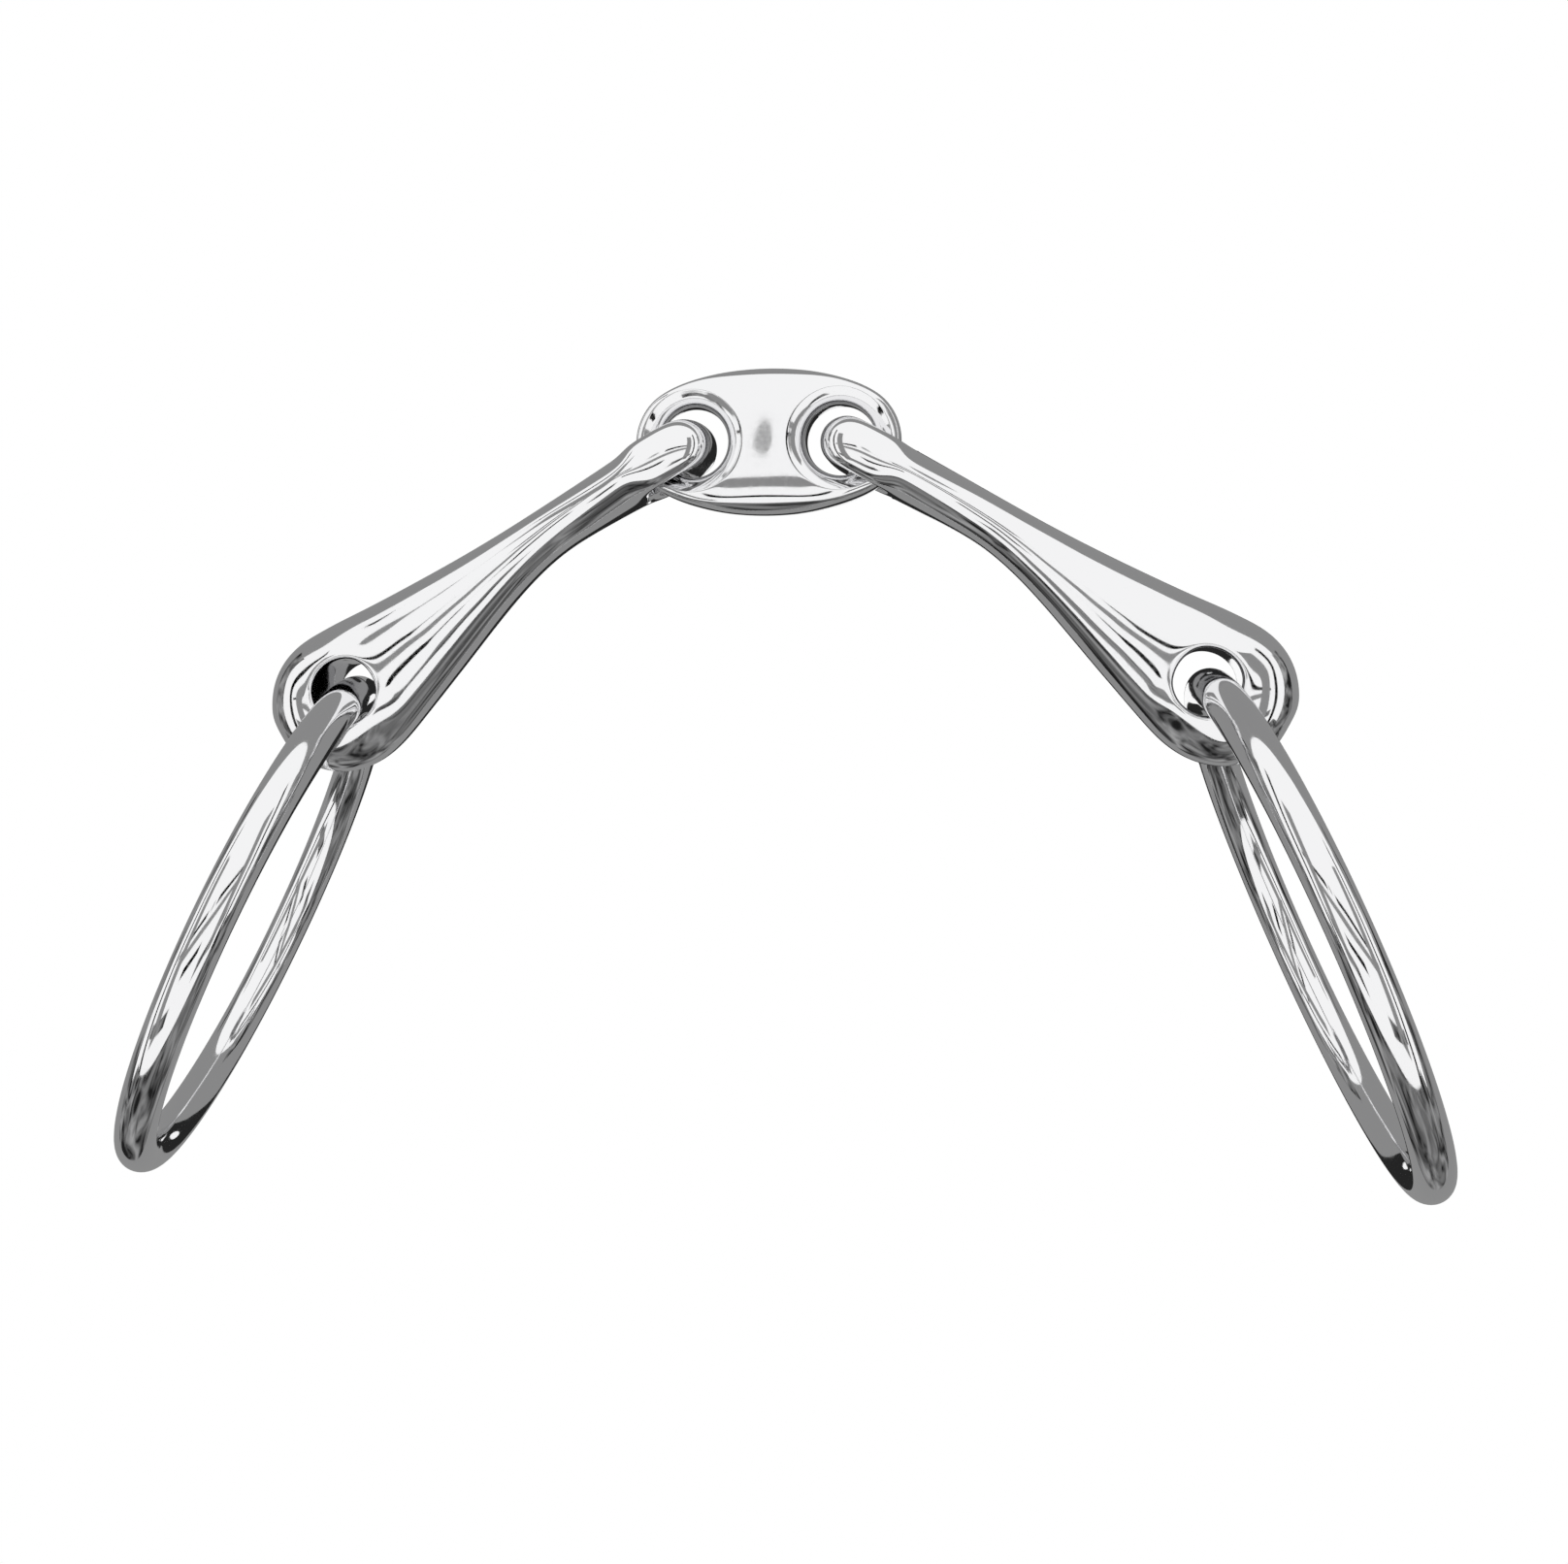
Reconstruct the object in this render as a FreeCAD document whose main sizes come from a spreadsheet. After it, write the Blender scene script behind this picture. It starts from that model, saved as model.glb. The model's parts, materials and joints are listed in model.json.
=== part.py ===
import FreeCAD, Part
import math
import os
import Sketcher

# Double-jointed loose-ring snaffle bit, millimetres.
# X runs along the bit to its right end, Z is up and Y goes from front to back.
# The origin is the middle of the centre link, between its two holes.
# Each cannon is drawn in its own frame: origin in the link hole it turns in,
# x along its straight neck, and is then turned down to where it rests.

doc = FreeCAD.newDocument("snaffle_bit")

# ---------------------------------------------------------------- sizes
sizes = doc.addObject("Spreadsheet::Sheet", "Sizes")
SIZE_LIST = [
    # rings: round bar bent to a circle
    ("ring_outside", 71.4, "outside diameter of a ring"),
    ("ring_bar", 5.2, "diameter of the ring's bar"),
    ("left_lean", 24.9, "how far the left ring leans outward at rest, degrees"),
    ("right_lean", 23.3, "how far the right ring leans outward at rest, degrees"),
    ("left_turn", 9.6, "how far the left ring is turned in its hole at rest, degrees"),
    ("right_turn", 2.4, "how far the right ring is turned in its hole at rest, degrees"),
    # centre link
    ("link_length", 34.5, "length of the centre link"),
    ("link_height", 19.0, "height of the centre link"),
    ("link_middle", 7.6, "thickness of the centre link in the middle"),
    ("link_end", 2.8, "thickness at its two ends"),
    ("link_end_radius", 7.6, "radius of its rounded ends"),
    ("hole_spacing", 19.0, "from one hole of the link to the other"),
    ("link_hole", 8.9, "diameter of each hole"),
    ("hole_rounding", 1.7, "rounding of the hole edges"),
    ("link_rounding", 1.25, "rounding of the outer edge"),
    # cannons: the eye round the link
    ("play", 0.25, "play between pieces that move on each other"),
    ("eye_bar", 6.7, "diameter of the eye's bar inside the link hole"),
    ("eye_gap", 5.6, "inside width of the eye"),
    ("eye_strand", 4.3, "thickness of each side of the eye"),
    ("eye_rounding", 1.9, "rounding of the eye's outer edges"),
    ("eye_inner_rounding", 1.2, "rounding of the eye's inner edges"),
    # cannons: neck and outer end
    ("left_droop", 29.7, "how far the left neck points down at rest, degrees"),
    ("right_droop", 28.7, "how far the right neck points down at rest, degrees"),
    ("neck_height", 6.3, "height of the neck"),
    ("neck_depth", 8.8, "depth of the neck, front to back"),
    ("bend_start", 22.0, "where the cannon bends, from the link hole"),
    ("bend_angle", 9.1, "how far it bends down there, degrees"),
    ("bend_reach", 33.6, "from the bend to the ring hole"),
    ("end_height", 18.8, "height of the cannon's rounded outer end"),
    ("end_depth", 13.2, "its depth, front to back"),
    ("end_past_hole", 2.2, "from the ring hole to the end's centre"),
    ("ring_room", 3.1, "how much wider the ring hole is than the ring's bar"),
    ("ring_hole", "=ring_bar + ring_room", "diameter of the ring hole"),
    ("mouth_chamfer", 0.4, "chamfer at each mouth of the ring hole"),
]
for row, (alias, value, note) in enumerate(SIZE_LIST, 1):
    sizes.set(f"A{row}", note)
    sizes.set(f"B{row}", str(value))
    sizes.setAlias(f"B{row}", alias)
doc.recompute()


def size(alias):
    return float(sizes.get(alias))


# ---------------------------------------------------------------- helpers
def plane(body, role):
    """One of the body's own origin planes, such as XZ_Plane."""
    return [f for f in body.Origin.OriginFeatures if f.Role == role][0]


def new_sketch(body, role, label):
    """A sketch lying on one of the body's origin planes."""
    sketch = body.newObject("Sketcher::SketchObject", label)
    sketch.AttachmentSupport = (plane(body, role), "")
    sketch.MapMode = "FlatFace"
    return sketch


def bind(sketch, kind, places, value, expression):
    """A measured constraint whose value follows an expression."""
    index = sketch.addConstraint(Sketcher.Constraint(kind, *places, value))
    name = f"{kind}{index}"
    sketch.renameConstraint(index, name)
    sketch.setExpression(f"Constraints.{name}", expression)


def vec(x, y):
    return FreeCAD.Vector(x, y, 0)


def line(sketch, start, end):
    return sketch.addGeometry(Part.LineSegment(vec(*start), vec(*end)), False)


def circle(sketch, centre, radius):
    return sketch.addGeometry(Part.Circle(vec(*centre), FreeCAD.Vector(0, 0, 1), radius), False)


def arc(sketch, centre, radius, first, last):
    """An arc from the first to the last angle, in degrees, anticlockwise."""
    whole = Part.Circle(vec(*centre), FreeCAD.Vector(0, 0, 1), radius)
    return sketch.addGeometry(Part.ArcOfCircle(whole, math.radians(first), math.radians(last)), False)


def join(sketch, pairs):
    """Makes the ends named in each pair meet."""
    for one, one_end, two, two_end in pairs:
        sketch.addConstraint(Sketcher.Constraint("Coincident", one, one_end, two, two_end))


def swept(body, kind, sketch, label, expression=None):
    """A pad or pocket, the same on both sides of its sketch."""
    feature = body.newObject(f"PartDesign::{kind}", label)
    feature.Profile = sketch
    feature.SideType = "Symmetric"
    if expression is None:
        feature.Type = "ThroughAll"
    else:
        feature.setExpression("Length", expression)
    sketch.Visibility = False
    return feature


def round_edges(body, base, chosen, label, expression):
    """A fillet on the edges of the base feature that are chosen."""
    names = [f"Edge{i}" for i, edge in enumerate(base.Shape.Edges, 1) if chosen(edge)]
    if not names:
        raise RuntimeError(f"{label}: no edges found")
    feature = body.newObject("PartDesign::Fillet", label)
    feature.Base = (base, names)
    feature.setExpression("Radius", expression)
    return feature


# ---------------------------------------------------------------- centre link
def make_link():
    """A lozenge with two holes, thick in the middle and thin at its ends."""
    body = doc.addObject("PartDesign::Body", "centre_link")
    body.Label = "centre_link"
    length = size("link_length")
    height = size("link_height")
    middle = size("link_middle")
    end_radius = size("link_end_radius")
    end_x = length / 2 - end_radius
    side_radius = (end_x**2 + height**2 / 4 - end_radius**2) / (height - 2 * end_radius)
    side_z = side_radius - height / 2
    turn = math.degrees(math.atan2(side_z, end_x))

    outline = new_sketch(body, "XZ_Plane", "link_outline")
    right = arc(outline, (end_x, 0), end_radius, -turn, turn)
    top = arc(outline, (0, -side_z), side_radius, turn, 180 - turn)
    left = arc(outline, (-end_x, 0), end_radius, 180 - turn, 180 + turn)
    base = arc(outline, (0, side_z), side_radius, 180 + turn, 360 - turn)
    for one, two in ((right, top), (top, left), (left, base), (base, right)):
        outline.addConstraint(Sketcher.Constraint("Tangent", one, 2, two, 1))
    outline.addConstraint(Sketcher.Constraint("Symmetric", right, 3, left, 3, -1, 1))
    outline.addConstraint(Sketcher.Constraint("PointOnObject", right, 3, -1))
    outline.addConstraint(Sketcher.Constraint("Symmetric", top, 3, base, 3, -1, 1))
    bind(outline, "Radius", (right,), end_radius, "Sizes.link_end_radius")
    bind(outline, "DistanceX", (-1, 1, right, 3), end_x, "Sizes.link_length / 2 - Sizes.link_end_radius")
    bind(outline, "DistanceY", (top, 3, -1, 1), side_z, SIDE_RADIUS + " - Sizes.link_height / 2")
    blank = swept(body, "Pad", outline, "link_blank", "Sizes.link_middle")

    # the two faces are shallow arcs seen from above, so the ends are thinner
    drop = (middle - size("link_end")) / 2
    face_radius = (length**2 / 4 + drop**2) / (2 * drop)
    reach = length / 2 + 1
    centre_y = middle / 2 - face_radius
    lift = math.degrees(math.acos(reach / face_radius))
    edge_y = centre_y + math.sqrt(face_radius**2 - reach**2)
    outer_y = middle / 2 + 1
    taper = new_sketch(body, "XY_Plane", "link_face")
    face = arc(taper, (0, centre_y), face_radius, lift, 180 - lift)
    sides = [
        line(taper, (-reach, edge_y), (-reach, outer_y)),
        line(taper, (-reach, outer_y), (reach, outer_y)),
        line(taper, (reach, outer_y), (reach, edge_y)),
    ]
    join(taper, [(face, 2, sides[0], 1), (sides[0], 2, sides[1], 1)])
    join(taper, [(sides[1], 2, sides[2], 1), (sides[2], 2, face, 1)])
    taper.addConstraint(Sketcher.Constraint("Vertical", sides[0]))
    taper.addConstraint(Sketcher.Constraint("Horizontal", sides[1]))
    taper.addConstraint(Sketcher.Constraint("Vertical", sides[2]))
    taper.addConstraint(Sketcher.Constraint("PointOnObject", face, 3, -2))
    bind(taper, "Radius", (face,), face_radius, FACE_RADIUS)
    bind(taper, "DistanceY", (face, 3, -1, 1), -centre_y, FACE_RADIUS + " - Sizes.link_middle / 2")
    bind(taper, "DistanceX", (-1, 1, sides[2], 1), reach, "Sizes.link_length / 2 + 1")
    bind(taper, "DistanceX", (sides[0], 1, -1, 1), reach, "Sizes.link_length / 2 + 1")
    bind(taper, "DistanceY", (-1, 1, sides[1], 1), outer_y, "Sizes.link_middle / 2 + 1")
    back = swept(body, "Pocket", taper, "link_back_face")
    front = body.newObject("PartDesign::Mirrored", "link_front_face")
    front.Originals = [back]
    front.MirrorPlane = (plane(body, "XZ_Plane"), [""])
    body.Tip = front

    holes = new_sketch(body, "XZ_Plane", "link_holes")
    for sign in (-1, 1):
        hole = circle(holes, (sign * size("hole_spacing") / 2, 0), size("link_hole") / 2)
        holes.addConstraint(Sketcher.Constraint("PointOnObject", hole, 3, -1))
        bind(holes, "Radius", (hole,), size("link_hole") / 2, "Sizes.link_hole / 2")
        ends = (-1, 1, hole, 3) if sign > 0 else (hole, 3, -1, 1)
        bind(holes, "DistanceX", ends, size("hole_spacing") / 2, "Sizes.hole_spacing / 2")
    drilled = swept(body, "Pocket", holes, "link_drilled")
    doc.recompute()

    def on_hole(edge):
        """An edge round a hole, not the seam inside it."""
        box = edge.BoundBox
        return abs(box.ZLength - size("link_hole")) < 0.2 and abs(box.XLength - size("link_hole")) < 0.2

    def on_outside(edge):
        """An edge where the faces meet the outline."""
        box = edge.BoundBox
        longest = max(box.XLength, box.ZLength)
        return not on_hole(edge) and longest > size("link_hole") and box.YLength < middle / 2

    softened = round_edges(body, drilled, on_hole, "link_hole_rounding", "Sizes.hole_rounding")
    doc.recompute()
    round_edges(body, softened, on_outside, "link_outer_rounding", "Sizes.link_rounding")
    return body


# radius of the link's long sides and of its two faces, from the sizes
END_X = "(Sizes.link_length / 2 - Sizes.link_end_radius)"
SIDE_RADIUS = (
    f"({END_X} * {END_X} + Sizes.link_height * Sizes.link_height / 4"
    " - Sizes.link_end_radius * Sizes.link_end_radius)"
    " / (Sizes.link_height - 2 * Sizes.link_end_radius)"
)
DROP = "((Sizes.link_middle - Sizes.link_end) / 2)"
FACE_RADIUS = f"(Sizes.link_length * Sizes.link_length / 4 + {DROP} * {DROP}) / (2 * {DROP})"


# ---------------------------------------------------------------- cannons
# where the ring hole is, from the link hole, in the cannon's own frame
HOLE_X = "(Sizes.bend_start + Sizes.bend_reach * cos(Sizes.bend_angle * 1deg))"
HOLE_Z = "(-Sizes.bend_reach * sin(Sizes.bend_angle * 1deg))"
# the eye's bar hangs on the outer side of the link hole
BAR_X = "(Sizes.link_hole / 2 - Sizes.eye_bar / 2 - Sizes.play)"
# the eye reaches past the link's end
CROTCH_X = "(Sizes.link_length / 2 - Sizes.hole_spacing / 2 + Sizes.play)"


def hole_place():
    """The ring hole's centre in the cannon's own frame."""
    bend = math.radians(size("bend_angle"))
    x = size("bend_start") + size("bend_reach") * math.cos(bend)
    return x, -size("bend_reach") * math.sin(bend)


def make_cannon(label, side):
    """Half of the mouthpiece; side is 1 for the right one and -1 for the left."""
    body = doc.addObject("PartDesign::Body", label)
    body.Label = label
    bar_x = size("link_hole") / 2 - size("eye_bar") / 2 - size("play")
    crotch_x = size("link_length") / 2 - size("hole_spacing") / 2 + size("play")
    nose_x = bar_x - size("eye_bar") / 2
    half_gap = size("eye_gap") / 2
    half_eye = half_gap + size("eye_strand")
    corner = size("eye_strand")
    root_x = crotch_x + size("eye_strand") * 1.3
    root_half = size("neck_depth") / 2 + 0.25 * (half_eye - size("neck_depth") / 2)

    def along(x):
        return side * x

    def across(first, second):
        """The two places of a sideways measure, in the order that keeps it positive."""
        return (*first, *second) if side > 0 else (*second, *first)

    # the eye seen from above: a rounded nose, two straight sides, then a shoulder
    block = new_sketch(body, "XY_Plane", label + "_eye_outline")
    shoulder_x = crotch_x
    points = {
        "nose_low": (along(nose_x), -half_eye + corner),
        "nose_high": (along(nose_x), half_eye - corner),
        "side_high": (along(nose_x + corner), half_eye),
        "shoulder_high": (along(shoulder_x), half_eye),
        "root_high": (along(root_x), root_half),
        "root_low": (along(root_x), -root_half),
        "shoulder_low": (along(shoulder_x), -half_eye),
        "side_low": (along(nose_x + corner), -half_eye),
    }
    nose = line(block, points["nose_low"], points["nose_high"])
    high = line(block, points["side_high"], points["shoulder_high"])
    slope_high = line(block, points["shoulder_high"], points["root_high"])
    root = line(block, points["root_high"], points["root_low"])
    slope_low = line(block, points["root_low"], points["shoulder_low"])
    low = line(block, points["shoulder_low"], points["side_low"])
    if side > 0:
        bend_high = arc(block, (nose_x + corner, half_eye - corner), corner, 90, 180)
        bend_low = arc(block, (nose_x + corner, corner - half_eye), corner, 180, 270)
        ends = (2, 1, 1, 2)
    else:
        bend_high = arc(block, (-nose_x - corner, half_eye - corner), corner, 0, 90)
        bend_low = arc(block, (-nose_x - corner, corner - half_eye), corner, 270, 360)
        ends = (1, 2, 2, 1)
    block.addConstraint(Sketcher.Constraint("Tangent", bend_high, ends[0], nose, 2))
    block.addConstraint(Sketcher.Constraint("Tangent", bend_high, ends[1], high, 1))
    block.addConstraint(Sketcher.Constraint("Tangent", bend_low, ends[2], nose, 1))
    block.addConstraint(Sketcher.Constraint("Tangent", bend_low, ends[3], low, 2))
    join(block, [(high, 2, slope_high, 1), (slope_high, 2, root, 1)])
    join(block, [(root, 2, slope_low, 1), (slope_low, 2, low, 1)])
    block.addConstraint(Sketcher.Constraint("Vertical", nose))
    block.addConstraint(Sketcher.Constraint("Horizontal", high))
    block.addConstraint(Sketcher.Constraint("Vertical", root))
    block.addConstraint(Sketcher.Constraint("Horizontal", low))
    bind(block, "Radius", (bend_high,), corner, "Sizes.eye_strand")
    bind(block, "Radius", (bend_low,), corner, "Sizes.eye_strand")
    bind(block, "DistanceX", across((nose, 1), (-1, 1)), -nose_x, f"Sizes.eye_bar / 2 - {BAR_X}")
    bind(block, "DistanceX", across((-1, 1), (high, 2)), crotch_x, CROTCH_X)
    bind(block, "DistanceX", across((-1, 1), (low, 1)), crotch_x, CROTCH_X)
    bind(block, "DistanceX", across((-1, 1), (root, 1)), root_x, f"{CROTCH_X} + Sizes.eye_strand * 1.3")
    bind(block, "DistanceY", (-1, 1, high, 1), half_eye, "Sizes.eye_gap / 2 + Sizes.eye_strand")
    bind(block, "DistanceY", (low, 1, -1, 1), half_eye, "Sizes.eye_gap / 2 + Sizes.eye_strand")
    root_rule = "Sizes.neck_depth * 0.375 + (Sizes.eye_gap / 2 + Sizes.eye_strand) * 0.25"
    bind(block, "DistanceY", (-1, 1, root, 1), root_half, root_rule)
    bind(block, "DistanceY", (root, 2, -1, 1), root_half, root_rule)
    eye = swept(body, "Pad", block, label + "_eye_block", "Sizes.eye_bar")
    doc.recompute()

    def on_eye(edge):
        """The eye block's upper and lower edges, all but those at its root."""
        box = edge.BoundBox
        flat = box.ZLength < 0.01 and abs(abs(box.ZMin) - size("eye_bar") / 2) < 0.01
        at_root = box.XLength < 0.01 and abs(abs(box.XMin) - root_x) < 0.01
        return flat and not at_root

    eye_round = round_edges(body, eye, on_eye, label + "_eye_rounding", "Sizes.eye_rounding")

    # the slot that the link's rim sits in, open at the nose, round at the crotch
    slot = new_sketch(body, "XY_Plane", label + "_slot_outline")
    crotch_centre = crotch_x - half_gap
    open_x = nose_x - 2
    slot_low = line(slot, (along(open_x), -half_gap), (along(crotch_centre), -half_gap))
    slot_high = line(slot, (along(crotch_centre), half_gap), (along(open_x), half_gap))
    slot_open = line(slot, (along(open_x), half_gap), (along(open_x), -half_gap))
    if side > 0:
        crotch = arc(slot, (crotch_centre, 0), half_gap, -90, 90)
        ends = (1, 2)
    else:
        crotch = arc(slot, (-crotch_centre, 0), half_gap, 90, 270)
        ends = (2, 1)
    slot.addConstraint(Sketcher.Constraint("Tangent", slot_low, 2, crotch, ends[0]))
    slot.addConstraint(Sketcher.Constraint("Tangent", crotch, ends[1], slot_high, 1))
    join(slot, [(slot_high, 2, slot_open, 1), (slot_open, 2, slot_low, 1)])
    slot.addConstraint(Sketcher.Constraint("Horizontal", slot_low))
    slot.addConstraint(Sketcher.Constraint("Horizontal", slot_high))
    slot.addConstraint(Sketcher.Constraint("Vertical", slot_open))
    slot.addConstraint(Sketcher.Constraint("PointOnObject", crotch, 3, -1))
    bind(slot, "Radius", (crotch,), half_gap, "Sizes.eye_gap / 2")
    bind(slot, "DistanceX", across((-1, 1), (crotch, 3)), crotch_centre, f"{CROTCH_X} - Sizes.eye_gap / 2")
    bind(slot, "DistanceX", across((slot_open, 1), (-1, 1)), -open_x, f"Sizes.eye_bar / 2 - {BAR_X} + 2")
    opened = swept(body, "Pocket", slot, label + "_slot")
    doc.recompute()

    def on_slot(edge):
        """The slot's upper and lower edges."""
        box = edge.BoundBox
        flat = box.ZLength < 0.01 and abs(abs(box.ZMin) - size("eye_bar") / 2) < 0.01
        inside = max(abs(box.YMin), abs(box.YMax)) < half_gap + 0.01
        return flat and inside and abs(box.XMax + box.XMin) / 2 < crotch_x

    inner = round_edges(body, opened, on_slot, label + "_slot_rounding", "Sizes.eye_inner_rounding")

    # the round bar that closes the eye through the link hole
    bar = new_sketch(body, "XZ_Plane", label + "_bar_outline")
    round_bar = circle(bar, (along(bar_x), 0), size("eye_bar") / 2)
    bar.addConstraint(Sketcher.Constraint("PointOnObject", round_bar, 3, -1))
    bind(bar, "Radius", (round_bar,), size("eye_bar") / 2, "Sizes.eye_bar / 2")
    bind(bar, "DistanceX", across((-1, 1), (round_bar, 3)), bar_x, BAR_X)
    swept(body, "Pad", bar, label + "_bar", "Sizes.eye_gap + 2 * Sizes.eye_inner_rounding")
    doc.recompute()

    # neck and blade: ellipses across the cannon, from the eye to its outer end.
    # each gives its share of the way from the neck's size to the end's size
    hole_x, hole_z = hole_place()
    stations = [
        ("root", f"{CROTCH_X} + Sizes.eye_strand * 0.6", "0", "0.02", "0.75"),
        ("throat", "Sizes.bend_start * 0.7", "0", "0", "0.28"),
        ("neck", "Sizes.bend_start", "0", "0", "0"),
        ("rise", "Sizes.bend_start + Sizes.bend_reach * 0.2", "0.15", "0.09", "0.05"),
        ("blade", "Sizes.bend_start + Sizes.bend_reach * 0.48", "0.46", "0.39", "0.38"),
        ("broad", "Sizes.bend_start + Sizes.bend_reach * 0.78", "0.77", "0.71", "0.76"),
        ("last", f"{HOLE_X} + Sizes.end_past_hole", "1", "1", "1"),
    ]
    # the outer end closes along a circle seen from the front
    for number, angle in enumerate((30, 52, 70, 82), 1):
        step = f"Sizes.end_height / 2 * sin({angle}deg)"
        stations.append((f"end_{number}", f"{HOLE_X} + Sizes.end_past_hole + {step}", "1", None, angle))
    sections = []
    for name, place, fall, grow, deepen in stations:
        section = new_sketch(body, "YZ_Plane", f"{label}_{name}")
        section.setExpression("AttachmentOffset.Base.z", f"{side} * ({place})")
        section.setExpression("AttachmentOffset.Base.y", f"{fall} * {HOLE_Z}")
        height = f"(Sizes.neck_height + {grow} * (Sizes.end_height - Sizes.neck_height)) / 2"
        tall = size("end_height") > size("end_depth")
        if grow is None:
            height = f"Sizes.end_height / 2 * cos({deepen}deg)"
            depth = f"Sizes.end_depth / 2 * cos({deepen}deg)"
        elif name in ("root", "throat"):
            tall = False
            eye_depth = "(Sizes.eye_gap + 2 * Sizes.eye_strand - Sizes.neck_depth)"
            depth = f"(Sizes.neck_depth + {deepen} * {eye_depth}) / 2"
        else:
            depth = f"(Sizes.neck_depth + {deepen} * (Sizes.end_depth - Sizes.neck_depth)) / 2"
            high = size("neck_height") + float(grow) * (size("end_height") - size("neck_height"))
            deep = size("neck_depth") + float(deepen) * (size("end_depth") - size("neck_depth"))
            tall = high > deep
        oval(section, depth, height, tall)
        section.Visibility = False
        sections.append(section)
    loft = body.newObject("PartDesign::AdditiveLoft", label + "_blade")
    loft.Profile = sections[0]
    loft.Sections = sections[1:]
    loft.Ruled = False
    doc.recompute()

    # the ring hole, drilled straight through from front to back
    drill = new_sketch(body, "XZ_Plane", label + "_ring_hole_outline")
    hole = circle(drill, (along(hole_x), hole_z), size("ring_hole") / 2)
    bind(drill, "Radius", (hole,), size("ring_hole") / 2, "Sizes.ring_hole / 2")
    bind(drill, "DistanceX", across((-1, 1), (hole, 3)), hole_x, HOLE_X)
    bind(drill, "DistanceY", (hole, 3, -1, 1), -hole_z, f"-{HOLE_Z}")
    swept(body, "Pocket", drill, label + "_ring_hole")

    # a shallow cone at each mouth of the ring hole
    mouth = body.newObject("PartDesign::SubtractiveCone", label + "_front_mouth")
    mouth.setExpression("Radius1", "Sizes.ring_hole / 2")
    mouth.setExpression("Radius2", "Sizes.ring_hole / 2 + 3")
    mouth.Height = 3
    mouth.Angle = 360
    mouth.AttachmentSupport = (plane(body, "XZ_Plane"), "")
    mouth.MapMode = "FlatFace"
    mouth.setExpression("AttachmentOffset.Base.x", f"{side} * {HOLE_X}")
    mouth.setExpression("AttachmentOffset.Base.y", HOLE_Z)
    mouth.setExpression("AttachmentOffset.Base.z", "Sizes.end_depth * 0.45 - Sizes.mouth_chamfer")
    doc.recompute()
    far_mouth = body.newObject("PartDesign::Mirrored", label + "_back_mouth")
    far_mouth.Originals = [mouth]
    far_mouth.MirrorPlane = (plane(body, "XZ_Plane"), [""])
    body.Tip = far_mouth
    doc.recompute()

    body.setExpression("Placement.Base.x", f"{side} * Sizes.hole_spacing / 2")
    droop = "right_droop" if side > 0 else "left_droop"
    body.Placement.Rotation = FreeCAD.Rotation(FreeCAD.Vector(0, side, 0), size(droop))
    body.setExpression("Placement.Rotation.Angle", f"Sizes.{droop} * 1deg")
    return body


def oval(sketch, half_width, half_height, tall):
    """An ellipse round the sketch's origin, higher than it is wide if tall."""
    long_end = vec(0, 3) if tall else vec(3, 0)
    short_end = vec(2, 0) if tall else vec(0, 2)
    curve = sketch.addGeometry(Part.Ellipse(long_end, short_end, vec(0, 0)), False)
    sketch.exposeInternalGeometry(curve)
    long_line = curve + 1
    short_line = curve + 2
    sketch.addConstraint(Sketcher.Constraint("Coincident", curve, 3, -1, 1))
    sketch.addConstraint(Sketcher.Constraint("Vertical" if tall else "Horizontal", long_line))
    wide_line = short_line if tall else long_line
    high_line = long_line if tall else short_line
    wide = 4 if tall else 6
    high = 6 if tall else 4
    bind(sketch, "DistanceX", ordered(sketch, wide_line, 0), wide, f"2 * ({half_width})")
    bind(sketch, "DistanceY", ordered(sketch, high_line, 1), high, f"2 * ({half_height})")


def ordered(sketch, index, axis):
    """The two ends of a line, lower value first."""
    shape = sketch.Geometry[index]
    first = shape.StartPoint[axis]
    last = shape.EndPoint[axis]
    return (index, 1, index, 2) if first < last else (index, 2, index, 1)


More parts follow.
